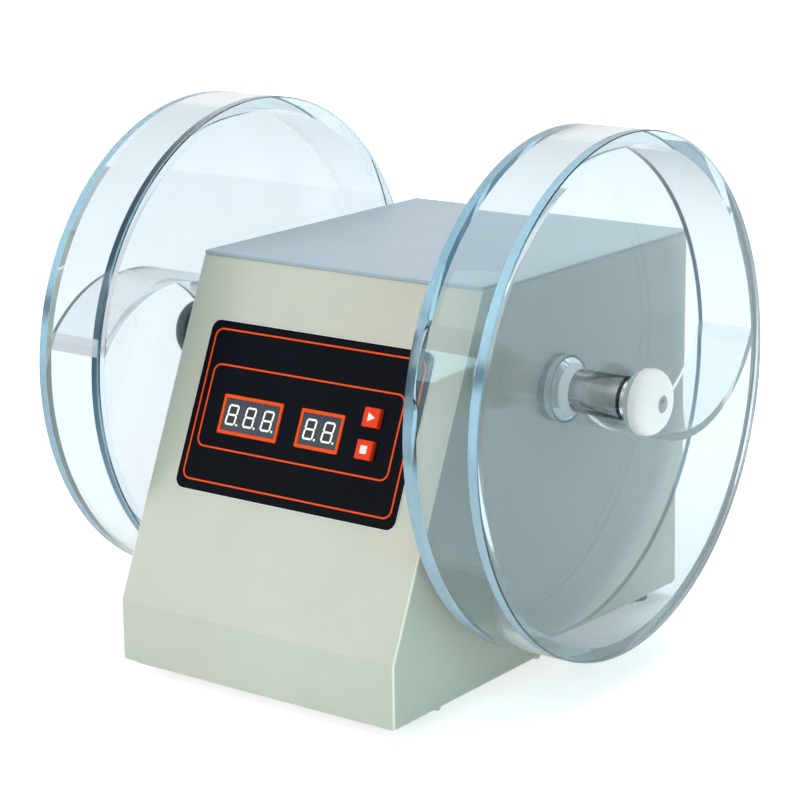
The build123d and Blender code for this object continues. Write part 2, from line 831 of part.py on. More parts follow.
# Mains inlet: a flanged block with the recess, its three blades and a drawer for the fuse above it
inlet_flange = (46, 44, 3)
inlet_corner = 3
inlet_depth = 24
inlet_floor = 5  # thickness of the block behind the recess
recess_size = (25, 17)
recess_z = -7
drawer_size = (25, 8)
drawer_z = 12
drawer_length = 18
drawer_gap = 0.3
blade_spots = [(-7, -9), (7, -9), (0, -5)]
blade_size = (2, 4)
blade_length = 14
inlet_plane = Plane(
    origin=(inlet_centre[0], back_y, inlet_centre[1]), x_dir=(-1, 0, 0), z_dir=(0, 1, 0)
)
with BuildPart() as power_inlet:
    with BuildSketch(inlet_plane):
        RectangleRounded(inlet_flange[0], inlet_flange[1], inlet_corner)
    extrude(amount=inlet_flange[2])
    with BuildSketch(inlet_plane):
        Rectangle(*inlet_opening)
    extrude(amount=-inlet_depth)
    with BuildSketch(inlet_plane.offset(inlet_flange[2])):
        with Locations((0, recess_z)):
            Rectangle(*recess_size)
    extrude(amount=inlet_floor - inlet_depth, mode=Mode.SUBTRACT)
    with BuildSketch(inlet_plane.offset(inlet_flange[2])):
        with Locations((0, drawer_z)):
            Rectangle(drawer_size[0] + 2 * drawer_gap, drawer_size[1] + 2 * drawer_gap)
    extrude(amount=-drawer_length - drawer_gap, mode=Mode.SUBTRACT)
    with BuildSketch(inlet_plane.offset(inlet_flange[2] - inlet_depth + inlet_floor)):
        with Locations(*blade_spots):
            Rectangle(*blade_size)
    extrude(amount=blade_length)
power_inlet.part.label = "power_inlet"
export_step(power_inlet.part, "parts/power_inlet.step")

drawer_face = 1.2
drawer_corner = 0.8
fuse_room = (21, 5, 14)
with BuildPart() as fuse_drawer:
    with BuildSketch(inlet_plane.offset(inlet_flange[2] + drawer_face)):
        with Locations((0, drawer_z)):
            RectangleRounded(*drawer_size, drawer_corner)
    extrude(amount=-drawer_length - drawer_face + drawer_gap)
    with BuildSketch(inlet_plane.offset(inlet_flange[2] - drawer_length)):
        with Locations((0, drawer_z)):
            Rectangle(fuse_room[0], fuse_room[1])
    extrude(amount=fuse_room[2], mode=Mode.SUBTRACT)
fuse_drawer.part.label = "fuse_drawer"
export_step(fuse_drawer.part, "parts/fuse_drawer.step")

# Mains rocker switch: a framed housing and the rocker on its two pivot stubs
switch_flange = (22, 31, 2)
switch_corner = 1.5
switch_depth = 20
rocker_size = (14, 22)
rocker_gap = 0.4
rocker_swing = 0.3  # further room at its two ends
rocker_tilt = 10
rocker_face = 4  # its ends stand this far out from the pivot
rocker_dip = 2.6  # its middle
rocker_back = 7  # its heel reaches this far in
rocker_heel = 4  # half the heel's height
stub_length = 1.5
pivot_depth = 1  # the pivot lies this far inside the panel's face
pivot_radius = 1.5
switch_plane = Plane(
    origin=(switch_centre[0], back_y, switch_centre[1]), x_dir=(-1, 0, 0), z_dir=(0, 1, 0)
)
with BuildPart() as switch_housing:
    with BuildSketch(switch_plane):
        RectangleRounded(switch_flange[0], switch_flange[1], switch_corner)
    extrude(amount=switch_flange[2])
    with BuildSketch(switch_plane):
        Rectangle(*switch_opening)
    extrude(amount=-switch_depth)
    with BuildSketch(switch_plane.offset(switch_flange[2])):
        Rectangle(
            rocker_size[0] + 2 * rocker_gap, rocker_size[1] + 2 * (rocker_gap + rocker_swing)
        )
    extrude(amount=-switch_depth, mode=Mode.SUBTRACT)
    stub_end = rocker_size[0] / 2 + stub_length + rocker_gap
    with BuildSketch(Plane.YZ.offset(switch_centre[0] - stub_end)):
        with Locations((back_y - pivot_depth, switch_centre[1])):
            Circle(pivot_radius + slip_gap)
    extrude(amount=2 * stub_end, mode=Mode.SUBTRACT)
switch_housing.part.label = "switch_housing"
export_step(switch_housing.part, "parts/switch_housing.step")

rocker_plane = Plane(
    origin=(switch_centre[0], back_y - pivot_depth, switch_centre[1]),
    x_dir=(0, cos(radians(rocker_tilt)), sin(radians(rocker_tilt))),
    z_dir=(1, 0, 0),
)
with BuildPart() as switch_rocker:
    with BuildSketch(rocker_plane.offset(-rocker_size[0] / 2)):
        with BuildLine():
            half_length = rocker_size[1] / 2
            Polyline(
                (rocker_dip, 0),
                (rocker_face, half_length),
                (0, half_length),
                (-rocker_back, rocker_heel),
                (-rocker_back, -rocker_heel),
                (0, -half_length),
                (rocker_face, -half_length),
                close=True,
            )
        make_face()
    extrude(amount=rocker_size[0])
    with BuildSketch(rocker_plane.offset(-rocker_size[0] / 2 - stub_length)):
        Circle(pivot_radius)
    extrude(amount=rocker_size[0] + 2 * stub_length)
switch_rocker.part.label = "switch_rocker"
export_step(switch_rocker.part, "parts/switch_rocker.step")

# What turns outside the cabinet, made once for each side
pin_depth = 3
pin_reach = 3.5
pin_end_gap = 0.5
boss_gap = 0.8  # between the flange's boss and the shaft seal
collar_tube_end = 158.4
insert_radius = 5
insert_tip_radius = 3.4
insert_front_x = 176.8
insert_end_gap = 0.6  # between the stud's end and the insert's floor
tip_height = insert_front_x - knob_front_x
tip_sphere = (insert_tip_radius**2 + tip_height**2) / (2 * tip_height)
tip_angle = asin(insert_tip_radius / tip_sphere)
edge_bevel = 0.6
hub_foot_taper = (hub_foot_radius - hub_radius) / hub_foot_run
vane_sweep = 130  # degrees; the wall's bore cuts the vane shorter
vane_start = {"right": vane_centre_angle, "left": vane_centre_angle + left_drum_turn}

for side in sides:
    # Drive flange: a turned disc with a boss that reaches in through the seal to the shaft's shoulder
    with BuildPart() as drive_flange:
        with BuildSketch(turning_plane):
            with BuildLine():
                Polyline(
                    (journal_end_x, shaft_end_radius),
                    (journal_end_x, seal_bore - boss_gap),
                    (drum_face_x - drive_flange_thickness, seal_bore - boss_gap),
                    (drum_face_x - drive_flange_thickness, drive_flange_radius),
                    (drum_face_x, drive_flange_radius),
                    (drum_face_x, shaft_end_radius),
                    close=True,
                )
            make_face()
        revolve(axis=shaft_axis)
        with BuildSketch(across(drum_face_x)):
            with Locations((0, pin_circle), (0, -pin_circle)):
                Circle(pin_radius)
        extrude(amount=-pin_depth, mode=Mode.SUBTRACT)
        if side == "left":
            mirror(about=Plane.YZ, mode=Mode.REPLACE)
    drive_flange.part.label = f"{side}_drive_flange"
    export_step(drive_flange.part, f"parts/{side}_drive_flange.step")

    # Wall ring
    with BuildPart() as drum_ring:
        with BuildSketch(across(disc_in_x)):
            Circle(drum_radius)
            Circle(drum_radius - drum_wall, mode=Mode.SUBTRACT)
        extrude(amount=drum_depth)
        if side == "left":
            mirror(about=Plane.YZ, mode=Mode.REPLACE)
    drum_ring.part.label = f"{side}_drum_ring"
    export_step(drum_ring.part, f"parts/{side}_drum_ring.step")

    # Hub tube: its flared foot fills the back disc's tapered bore and takes the two drive pins
    with BuildPart() as hub_tube:
        with BuildSketch(turning_plane):
            with BuildLine():
                Polyline(
                    (drum_face_x, shaft_end_radius + running_gap),
                    (drum_face_x, hub_foot_radius),
                    (drum_face_x + hub_foot_run, hub_radius),
                    (cover_x, hub_radius),
                    (cover_x, shaft_end_radius + running_gap),
                    close=True,
                )
            make_face()
        revolve(axis=shaft_axis)
        with BuildSketch(across(drum_face_x)):
            with Locations((0, pin_circle), (0, -pin_circle)):
                Circle(pin_radius + slip_gap)
        extrude(amount=pin_reach + pin_end_gap, mode=Mode.SUBTRACT)
        if side == "left":
            mirror(about=Plane.YZ, mode=Mode.REPLACE)
    hub_tube.part.label = f"{side}_hub_tube"
    export_step(hub_tube.part, f"parts/{side}_hub_tube.step")

    # Back disc, round the hub's foot
    with BuildPart() as back_disc:
        with BuildSketch(turning_plane):
            with BuildLine():
                Polyline(
                    (drum_face_x, hub_foot_radius),
                    (drum_face_x, drum_radius),
                    (disc_in_x, drum_radius),
                    (disc_in_x, hub_foot_radius - hub_foot_taper * disc_thickness),
                    close=True,
                )
            make_face()
        revolve(axis=shaft_axis)
        chamfer(back_disc.edges().group_by(Axis.X)[0].sort_by(SortBy.RADIUS)[-1], length=edge_bevel)
        if side == "left":
            mirror(about=Plane.YZ, mode=Mode.REPLACE)
    back_disc.part.label = f"{side}_back_disc"
    export_step(back_disc.part, f"parts/{side}_back_disc.step")

    # Curved vane from the hub to the wall: part of a ring, cut to the wall's bore and the hub's flare
    turn = vane_start[side]
    vane_centre = polar(vane_centre_distance, radians(turn))
    ends = (vane_inside_radius, vane_inside_radius + vane_thickness)
    with BuildPart() as vane:
        with BuildSketch(across(disc_in_x)):
            with BuildLine():
                inner = CenterArc(vane_centre, ends[0], turn + 180, vane_sweep)
                outer = CenterArc(vane_centre, ends[1], turn + 180, vane_sweep)
                Line(inner @ 0, outer @ 0)
                Line(inner @ 1, outer @ 1)
            make_face()
            Circle(drum_radius - drum_wall, mode=Mode.INTERSECT)
            Circle(hub_radius, mode=Mode.SUBTRACT)
        extrude(amount=drum_depth)
        if side == "left":
            mirror(about=Plane.YZ, mode=Mode.REPLACE)
        add(hub_tube.part, mode=Mode.SUBTRACT)
    vane.part.label = f"{side}_vane"
    export_step(vane.part, f"parts/{side}_vane.step")

    # Removable cover
    with BuildPart() as drum_cover:
        with BuildSketch(across(cover_x)):
            Circle(drum_radius)
            Circle(shaft_end_radius + slip_gap, mode=Mode.SUBTRACT)
        extrude(amount=disc_thickness)
        chamfer(drum_cover.edges().group_by(Axis.X)[-1].sort_by(SortBy.RADIUS)[-1], length=edge_bevel)
        if side == "left":
            mirror(about=Plane.YZ, mode=Mode.REPLACE)
    drum_cover.part.label = f"{side}_drum_cover"
    export_step(drum_cover.part, f"parts/{side}_drum_cover.step")

    # Collar between cover and washer
    with BuildPart() as collar:
        with BuildSketch(across(cover_out_x)):
            Circle(hub_radius)
        extrude(amount=collar_tube_end - cover_out_x)
        with BuildSketch(across(collar_tube_end)):
            Circle(collar_flange_radius)
        extrude(amount=shaft_end_x - collar_tube_end)
        with BuildSketch(across(cover_out_x)):
            Circle(shaft_end_radius + slip_gap)
        extrude(amount=shaft_end_x - cover_out_x, mode=Mode.SUBTRACT)
        if side == "left":
            mirror(about=Plane.YZ, mode=Mode.REPLACE)
    collar.part.label = f"{side}_collar"
    export_step(collar.part, f"parts/{side}_collar.step")

    # Washer
    with BuildPart() as washer:
        with BuildSketch(across(shaft_end_x)):
            Circle(washer_radius)
            Circle(stud_radius + slip_gap, mode=Mode.SUBTRACT)
        extrude(amount=washer_thickness)
        if side == "left":
            mirror(about=Plane.YZ, mode=Mode.REPLACE)
    washer.part.label = f"{side}_washer"
    export_step(washer.part, f"parts/{side}_washer.step")

    # Knob: a thick disc with a rising front and a large round at its edge, moulded round its insert
    with BuildPart() as knob:
        with BuildSketch(turning_plane) as half_knob:
            with BuildLine():
                Polyline(
                    (knob_front_x, insert_radius),
                    (knob_back_x, insert_radius),
                    (knob_back_x, knob_radius),
                    (knob_front_x - knob_crown, knob_radius),
                    close=True,
                )
            make_face()
            fillet(half_knob.vertices().group_by(Axis.Y)[-1].sort_by(Axis.X)[-1], knob_edge_round)
            chamfer(half_knob.vertices().group_by(Axis.Y)[-1].sort_by(Axis.X)[0], knob_back_bevel)
        revolve(axis=shaft_axis)
        if side == "left":
            mirror(about=Plane.YZ, mode=Mode.REPLACE)
    knob.part.label = f"{side}_knob"
    export_step(knob.part, f"parts/{side}_knob.step")

    # Threaded insert, closed by a small dome that shows in the knob's front
    with BuildPart() as knob_insert:
        with BuildSketch(turning_plane):
            with BuildLine():
                Polyline(
                    (insert_front_x, 0),
                    (stud_end_x + insert_end_gap, 0),
                    (stud_end_x + insert_end_gap, stud_radius + running_gap),
                    (knob_back_x, stud_radius + running_gap),
                    (knob_back_x, insert_radius),
                    (knob_front_x, insert_radius),
                    (knob_front_x, insert_tip_radius),
                )
                ThreePointArc(
                    (knob_front_x, insert_tip_radius),
                    (
                        insert_front_x - tip_sphere * (1 - cos(tip_angle / 2)),
                        tip_sphere * sin(tip_angle / 2),
                    ),
                    (insert_front_x, 0),
                )
            make_face()
        revolve(axis=shaft_axis)
        if side == "left":
            mirror(about=Plane.YZ, mode=Mode.REPLACE)
    knob_insert.part.label = f"{side}_knob_insert"
    export_step(knob_insert.part, f"parts/{side}_knob_insert.step")

# Drive pins, two on each side, pressed into the flanges and reaching into the hubs' feet
with BuildPart() as drive_pins:
    with BuildSketch(across(drum_face_x - pin_depth)):
        with Locations((0, pin_circle), (0, -pin_circle)):
            Circle(pin_radius)
    extrude(amount=pin_depth + pin_reach)
    mirror(about=Plane.YZ)
drive_pins.part.label = "drive_pins"
export_step(drive_pins.part, "parts/drive_pins.step")
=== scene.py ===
"""Tablet friability tester with two clear drums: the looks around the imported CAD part, in metres."""

import json
from math import acos, atan2, cos, pi, radians, sin

import bmesh
import bpy
from mathutils import Matrix, Vector


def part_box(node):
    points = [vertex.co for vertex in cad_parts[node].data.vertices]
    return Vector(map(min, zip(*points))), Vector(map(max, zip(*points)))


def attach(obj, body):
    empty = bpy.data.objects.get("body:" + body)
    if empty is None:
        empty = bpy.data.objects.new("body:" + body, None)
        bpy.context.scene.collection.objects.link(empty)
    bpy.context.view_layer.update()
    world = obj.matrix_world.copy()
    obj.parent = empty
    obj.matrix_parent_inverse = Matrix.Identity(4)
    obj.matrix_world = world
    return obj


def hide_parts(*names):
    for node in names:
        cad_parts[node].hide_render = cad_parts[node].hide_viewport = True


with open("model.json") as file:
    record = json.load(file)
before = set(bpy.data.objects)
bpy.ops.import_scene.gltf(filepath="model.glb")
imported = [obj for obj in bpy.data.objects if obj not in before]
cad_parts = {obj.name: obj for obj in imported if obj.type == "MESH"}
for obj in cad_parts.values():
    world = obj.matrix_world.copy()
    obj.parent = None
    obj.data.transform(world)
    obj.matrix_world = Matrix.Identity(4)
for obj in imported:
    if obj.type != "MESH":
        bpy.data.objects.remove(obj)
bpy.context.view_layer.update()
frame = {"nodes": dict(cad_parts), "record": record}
nodes = frame["nodes"]

MM = 0.001
JOINT_GAP = 0.05 * MM  # left between two clear pieces, so that their faces don't coincide

# Sizes that the frame gives
ring_low, ring_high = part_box("right_drum_ring")
disc_low, disc_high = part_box("right_back_disc")
cover_low, cover_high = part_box("right_drum_cover")
hub_low, hub_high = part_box("right_hub_tube")
collar_low, collar_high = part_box("right_collar")
cabinet_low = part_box("cabinet_shell")[0]
top_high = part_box("top_cover")[1]
axis_height = (ring_low.z + ring_high.z) / 2
drum_radius = (ring_high.z - ring_low.z) / 2

# Sizes that no box shows
drum_wall = 8 * MM
bevel = 0.6 * MM
hub_radius = 12.5 * MM
hub_foot_radius = (hub_high.z - hub_low.z) / 2
hub_foot_run = 11 * MM
bore_radius = 6.05 * MM
cover_bore_radius = 6.1 * MM
vane_inside_radius = 77 * MM
vane_thickness = 5 * MM
vane_centre_distance = 82.4 * MM
vane_turn = {"right": radians(31.9), "left": radians(31.9 + 168)}
pin_circle = 14 * MM
pin_hole_radius = 2.1 * MM
pin_hole_depth = 4 * MM
collar_flange = 1.6 * MM
lip_height = 37 * MM
slope_run = 84 * MM
sides = {"left": -1, "right": 1}

# Control panel, in the plane of the slope: u along X, v up the slope from the lip, millimetres
panel_centre = (0, 121)
panel_top = 0.8  # the overlay's surface above the slope
window_top = panel_top
ink = 0.06  # how far printed lines and digits stand proud
overlay_size = (158, 100)
overlay_corner = 6
highlight_width = 0.5  # a painted highlight on the overlay's cut edge: a white band round it where the edge catches the light
highlight_top = 0.4
outer_line = (0, 121.5, 149.6, 89, 5)  # centre u, centre v, width, height, corner radius
inner_line = (-1.5, 121.2, 137, 48.4, 5)
line_width = 1.0
turns_window = (-35.75, 117.5, 39.5, 19)  # centre u, centre v, width, height
speed_window = (14.6, 117.5, 26.8, 18.5)
digit_pitch = 13
digit_size = (7.6, 12.2)
digit_shift = -0.5  # the figures stand a little left of the middle and leave room for their points
digit_stroke = 1.15
digit_slant = 0.09
segment_gap = 0.08
point_size = 1.3  # the decimal point, and how far it stands from the figure
point_corner = 0.4
well_corner = 0.3
separator_width = 0.4
separator_corner = 0.1
button_top = 3.6
button_spots = {"start": (49, 130), "reset": (49, 111.7)}
start_corners = ((-2, -2.6), (2.8, 0), (-2, 2.6))  # a triangle, from the button's middle
reset_square = 4.6
reset_corner = 0.5


# Materials


BLACK, WHITE = (0, 0, 0), (1, 1, 1)
NOISE_RANGE = (0.3, 0.7)  # where most of a noise's values lie
COAT_ROUGHNESS = 0.08
LATHE_GRAIN = 0.01 * MM

# Acrylic: its faces mirror faintly and blue-green, and a long way through it takes light away
ACRYLIC_IOR = 1.49
ACRYLIC_MIRROR = (0.3, 0.55, 0.58)
ACRYLIC_DEPTH_COLOUR = (0.37, 0.63, 0.74)
ACRYLIC_DEPTH_DENSITY = 5.0
SMUDGE_SIZE = 30 * MM


def node_tree(name):
    """A new material with a Principled shader wired to its output: (material, nodes, links, shader)."""
    made = bpy.data.materials.new(name)
    made.use_nodes = True
    tree = made.node_tree
    tree.nodes.clear()
    output = tree.nodes.new("ShaderNodeOutputMaterial")
    shader = tree.nodes.new("ShaderNodeBsdfPrincipled")
    tree.links.new(shader.outputs["BSDF"], output.inputs["Surface"])
    return made, tree.nodes, tree.links, shader


def noise(tree_nodes, links, size, detail=2.0, stretch=(1, 1, 1)):
    """A noise texture in the object's own coordinates, with features about size metres across."""
    place = tree_nodes.new("ShaderNodeTexCoord")
    scale = tree_nodes.new("ShaderNodeMapping")
    scale.inputs["Scale"].default_value = [s / size for s in stretch]
    texture = tree_nodes.new("ShaderNodeTexNoise")
    texture.inputs["Scale"].default_value = 1.0
    texture.inputs["Detail"].default_value = detail
    links.new(place.outputs["Object"], scale.inputs["Vector"])
    links.new(scale.outputs["Vector"], texture.inputs["Vector"])
    return texture.outputs["Fac"]


def ramp(tree_nodes, links, source, stops):
    """A colour ramp fed by source: stops are (position, colour) pairs."""
    node = tree_nodes.new("ShaderNodeValToRGB")
    while len(node.color_ramp.elements) < len(stops):
        node.color_ramp.elements.new(0.5)
    for element, (position, colour) in zip(node.color_ramp.elements, stops):
        element.position = position
        element.color = (*colour, 1)
    links.new(source, node.inputs["Fac"])
    return node.outputs["Color"]


def spread(tree_nodes, links, source, low, high):
    """Maps a noise's middle range onto low to high."""
    node = tree_nodes.new("ShaderNodeMapRange")
    node.inputs["From Min"].default_value = NOISE_RANGE[0]
    node.inputs["From Max"].default_value = NOISE_RANGE[1]
    node.inputs["To Min"].default_value = low
    node.inputs["To Max"].default_value = high
    links.new(source, node.inputs["Value"])
    return node.outputs["Result"]


def finish(
    name,
    colour,
    roughness,
    metallic=0.0,
    mottle=0.03,
    mottle_size=40 * MM,
    grain_size=1 * MM,
    grain_depth=0.01 * MM,
    stretch=(1, 1, 1),
    coat=0.0,
    specular=0.4,
):
    """A solid finish: a slightly uneven colour and gloss over a fine grain that the bump shows."""
    made, tree_nodes, links, shader = node_tree(name)
    shader.inputs["Metallic"].default_value = metallic
    shader.inputs["Specular IOR Level"].default_value = specular
    shader.inputs["Coat Weight"].default_value = coat
    shader.inputs["Coat Roughness"].default_value = COAT_ROUGHNESS
    patches = noise(tree_nodes, links, mottle_size, 3, stretch)
    darker = [c * (1 - mottle) for c in colour]
    lighter = [min(1, c * (1 + mottle)) for c in colour]
    stops = [(0.35, darker), (0.65, lighter)]
    links.new(ramp(tree_nodes, links, patches, stops), shader.inputs["Base Color"])
    grain = noise(tree_nodes, links, grain_size, 4, stretch)
    gloss = spread(tree_nodes, links, grain, roughness * 0.85, roughness * 1.15)
    links.new(gloss, shader.inputs["Roughness"])
    bump = tree_nodes.new("ShaderNodeBump")
    bump.inputs["Distance"].default_value = grain_depth
    links.new(grain, bump.inputs["Height"])
    links.new(bump.outputs["Normal"], shader.inputs["Normal"])
    return made


def lathe_rings(tree_nodes, links, ring_size):
    """A noise that only changes along the shaft's axis and with the distance from it."""
    place = tree_nodes.new("ShaderNodeTexCoord")
    split = tree_nodes.new("ShaderNodeSeparateXYZ")
    links.new(place.outputs["Object"], split.inputs["Vector"])
    height = tree_nodes.new("ShaderNodeMath")
    height.operation = "SUBTRACT"
    height.inputs[1].default_value = axis_height
    links.new(split.outputs["Z"], height.inputs[0])
    flat = tree_nodes.new("ShaderNodeCombineXYZ")
    links.new(split.outputs["Y"], flat.inputs["X"])
    links.new(height.outputs["Value"], flat.inputs["Y"])
    radius = tree_nodes.new("ShaderNodeVectorMath")
    radius.operation = "LENGTH"
    links.new(flat.outputs["Vector"], radius.inputs[0])
    along = tree_nodes.new("ShaderNodeCombineXYZ")
    links.new(split.outputs["X"], along.inputs["X"])
    links.new(radius.outputs["Value"], along.inputs["Y"])
    scale = tree_nodes.new("ShaderNodeMapping")
    scale.inputs["Scale"].default_value = (1 / ring_size, 1 / ring_size, 1)
    links.new(along.outputs["Vector"], scale.inputs["Vector"])
    texture = tree_nodes.new("ShaderNodeTexNoise")
    texture.inputs["Scale"].default_value = 1.0
    texture.inputs["Detail"].default_value = 3
    links.new(scale.outputs["Vector"], texture.inputs["Vector"])
    return texture.outputs["Fac"]


def turned_metal(name, colour, roughness, ring_size, metallic=1.0):
    """Metal turned on a lathe: fine rings about the shaft's axis, in colour, gloss and bump."""
    made, tree_nodes, links, shader = node_tree(name)
    shader.inputs["Metallic"].default_value = metallic
    rings = lathe_rings(tree_nodes, links, ring_size)
    stops = list(zip(NOISE_RANGE, ([c * 0.88 for c in colour], colour)))
    links.new(ramp(tree_nodes, links, rings, stops), shader.inputs["Base Color"])
    gloss = spread(tree_nodes, links, rings, roughness * 0.7, roughness * 1.3)
    links.new(gloss, shader.inputs["Roughness"])
    bump = tree_nodes.new("ShaderNodeBump")
    bump.inputs["Distance"].default_value = LATHE_GRAIN
    bump.inputs["Strength"].default_value = 0.5
    links.new(rings, bump.inputs["Height"])
    links.new(bump.outputs["Normal"], shader.inputs["Normal"])
    return made


def clear_acrylic(name, roughness, tint, mirror=ACRYLIC_MIRROR, clearness=1.0):
    """Acrylic: clear through its faces, blue-green where the eye looks along a wall."""
    made, tree_nodes, links, shader = node_tree(name)
    shader.inputs["Transmission Weight"].default_value = clearness
    shader.inputs["IOR"].default_value = ACRYLIC_IOR
    shader.inputs["Specular IOR Level"].default_value = 0.1
    shader.inputs["Specular Tint"].default_value = (*mirror, 1)
    smudges = noise(tree_nodes, links, SMUDGE_SIZE, 4)
    stops = list(zip(NOISE_RANGE, ([c * 0.985 for c in tint], tint)))
    links.new(ramp(tree_nodes, links, smudges, stops), shader.inputs["Base Color"])
    gloss = spread(tree_nodes, links, smudges, roughness, roughness + 0.02)
    links.new(gloss, shader.inputs["Roughness"])
    depth = tree_nodes.new("ShaderNodeVolumeAbsorption")
    depth.inputs["Color"].default_value = (*ACRYLIC_DEPTH_COLOUR, 1)
    depth.inputs["Density"].default_value = ACRYLIC_DEPTH_DENSITY
    output = next(n for n in tree_nodes if n.type == "OUTPUT_MATERIAL")
    links.new(depth.outputs["Volume"], output.inputs["Volume"])
    return made


def printed(name, colour, glow=0.0):
    """Printing ink, a lit segment or a painted highlight: an even colour that breaks up a little at a
    fine scale.
    """
    made, tree_nodes, links, shader = node_tree(name)
    specks = noise(tree_nodes, links, 0.6 * MM, 2)
    stops = [(0.3, [c * 0.92 for c in colour]), (0.6, colour)]
    tone = ramp(tree_nodes, links, specks, stops)
    links.new(tone, shader.inputs["Base Color"])
    links.new(spread(tree_nodes, links, specks, 0.35, 0.5), shader.inputs["Roughness"])
    if glow:
        links.new(tone, shader.inputs["Emission Color"])
        shader.inputs["Emission Strength"].default_value = glow
    return made


def paint_fold_highlights(made, colour):
    """Paints a highlight on the rounded folds beside the two side walls: their paint is lighter there,
    a painted highlight for the light the folds' curve would catch.

    A surface counts as such a fold where its normal leans to the side, yet less than a side wall's.
    """
    tree = made.node_tree
    shader = next(n for n in tree.nodes if n.type == "BSDF_PRINCIPLED")
    paint = shader.inputs["Base Color"].links[0].from_socket
    place = tree.nodes.new("ShaderNodeTexCoord")
    split = tree.nodes.new("ShaderNodeSeparateXYZ")
    tree.links.new(place.outputs["Normal"], split.inputs["Vector"])
    sideways = tree.nodes.new("ShaderNodeMath")
    sideways.operation = "ABSOLUTE"
    tree.links.new(split.outputs["X"], sideways.inputs[0])
    stops = [(0.2, BLACK), (0.5, WHITE), (0.75, WHITE), (0.93, BLACK)]
    fold = ramp(tree.nodes, tree.links, sideways.outputs["Value"], stops)
    mixed = tree.nodes.new("ShaderNodeMix")
    mixed.data_type = "RGBA"
    tree.links.new(fold, mixed.inputs["Factor"])
    first, second = [socket for socket in mixed.inputs if socket.type == "RGBA"]
    tree.links.new(paint, first)
    second.default_value = (*colour, 1)
    result = next(socket for socket in mixed.outputs if socket.type == "RGBA")
    tree.links.new(result, shader.inputs["Base Color"])


# Finishes by the record's slots: linear colour, roughness, then what differs from an even finish
METAL = {"metallic": 1.0}
PAINT = {"mottle": 0.02, "grain_size": 0.9 * MM, "grain_depth": 0.02 * MM}
SMOOTH = {"grain_depth": 0.004 * MM}
finishes = {
    "cabinet_paint": ((0.53, 0.512, 0.432), 0.32, PAINT),
    "cover_paint": ((0.34, 0.405, 0.45), 0.4, PAINT),
    "plated_steel": ((0.6, 0.6, 0.57), 0.32, {"mottle": 0.08, "mottle_size": 12 * MM, **METAL}),
    "rubber": ((0.03, 0.032, 0.034), 0.75, {"grain_size": 0.5 * MM, "grain_depth": 0.04 * MM}),
    "steel": ((0.56, 0.57, 0.58), 0.28, {"mottle": 0.06, "mottle_size": 6 * MM, **METAL}),
    "overlay_black": (
        (0.002, 0.003, 0.006),
        0.45,
        {"mottle": 0.1, "grain_size": 0.4 * MM, "specular": 0.05},
    ),
    "orange": (
        (0.88, 0.075, 0.003),
        0.45,
        {"mottle": 0.05, "mottle_size": 4 * MM, "specular": 0.15},
    ),
    "display_window": ((0.01, 0.02, 0.038), 0.2, {"mottle": 0.08, "specular": 0.3}),
    "display_black": ((0.006, 0.006, 0.008), 0.4, {}),
    "board_green": ((0.02, 0.14, 0.05), 0.4, {"mottle": 0.15, "mottle_size": 5 * MM}),
    "brass": ((0.7, 0.5, 0.22), 0.3, {"mottle": 0.06, **METAL}),
    "black_plastic": ((0.018, 0.018, 0.02), 0.5, {"grain_depth": 0.03 * MM}),
    "button_red": (
        (0.8, 0.04, 0.004),
        0.4,
        {"mottle": 0.05, "mottle_size": 5 * MM, "specular": 0.2},
    ),
    "rocker_red": ((0.55, 0.02, 0.012), 0.3, {"mottle": 0.04}),
    "aluminium": ((0.72, 0.73, 0.74), 0.34, {"mottle": 0.05, "stretch": (1, 8, 1), **METAL}),
    "motor_paint": ((0.05, 0.055, 0.06), 0.45, {}),
    "knob_white": ((0.86, 0.76, 0.75), 0.22, {"mottle": 0.015, "coat": 0.3, **SMOOTH}),
    "knob_dark": ((0.055, 0.085, 0.095), 0.3, {"mottle": 0.06}),
}
materials = {
    name: finish(name, colour, roughness, **more)
    for name, (colour, roughness, more) in finishes.items()
}
# The folds' lighter cream is a painted highlight along the cabinet's rounded folds.
paint_fold_highlights(materials["cabinet_paint"], (0.86, 0.79, 0.68))
materials["polished_steel"] = turned_metal("polished_steel", (0.9, 0.91, 0.9), 0.3, 0.4 * MM, 0.4)
materials["turned_aluminium"] = turned_metal("turned_aluminium", (0.88, 0.89, 0.9), 0.3, 0.5 * MM)
# The chrome's colour is darker than bare chrome: a painted reflection of the dark facets it mirrors.
materials["chrome"] = turned_metal("chrome", (0.3, 0.33, 0.34), 0.12, 0.6 * MM)
materials["acrylic"] = clear_acrylic("acrylic", 0.0, (0.89, 0.915, 0.93))

# Finishes that no slot names: sawn edges, the hub's polished tube and its turned foot, satin washers
acrylic_edge = clear_acrylic("acrylic_edge", 0.2, (0.93, 0.95, 0.97))
acrylic_tube = clear_acrylic("acrylic_tube", 0.04, (0.99, 0.995, 1.0), WHITE)
acrylic_turned = clear_acrylic("acrylic_turned", 0.3, (0.97, 0.98, 1.0), WHITE, clearness=0.15)
washer_clear = finish("washer_clear", (0.45, 0.54, 0.54), 0.3, mottle=0.02, **SMOOTH)

# Printing, lit digits and the painted highlight round the overlay
digit_white = printed("digit_white", (0.78, 0.78, 0.7), glow=0.35)
digit_well = printed("digit_well", (0.004, 0.004, 0.005))
separator_grey = printed("separator_grey", (0.06, 0.065, 0.075))
icon_white = printed("icon_white", (0.82, 0.8, 0.76))
# White for the painted highlight on the overlay's edge.
edge_highlight_paint = printed("edge_highlight_paint", (0.8, 0.8, 0.76))

for subpart in frame["record"]["subparts"]:
    mesh = nodes[subpart["node"]].data
    mesh.materials.clear()
    mesh.materials.append(materials[subpart["material_slot"]])
for name in sides:
    nodes[f"{name}_washer"].data.materials[0] = washer_clear


# Mesh helpers


SHARP_FROM = radians(30)


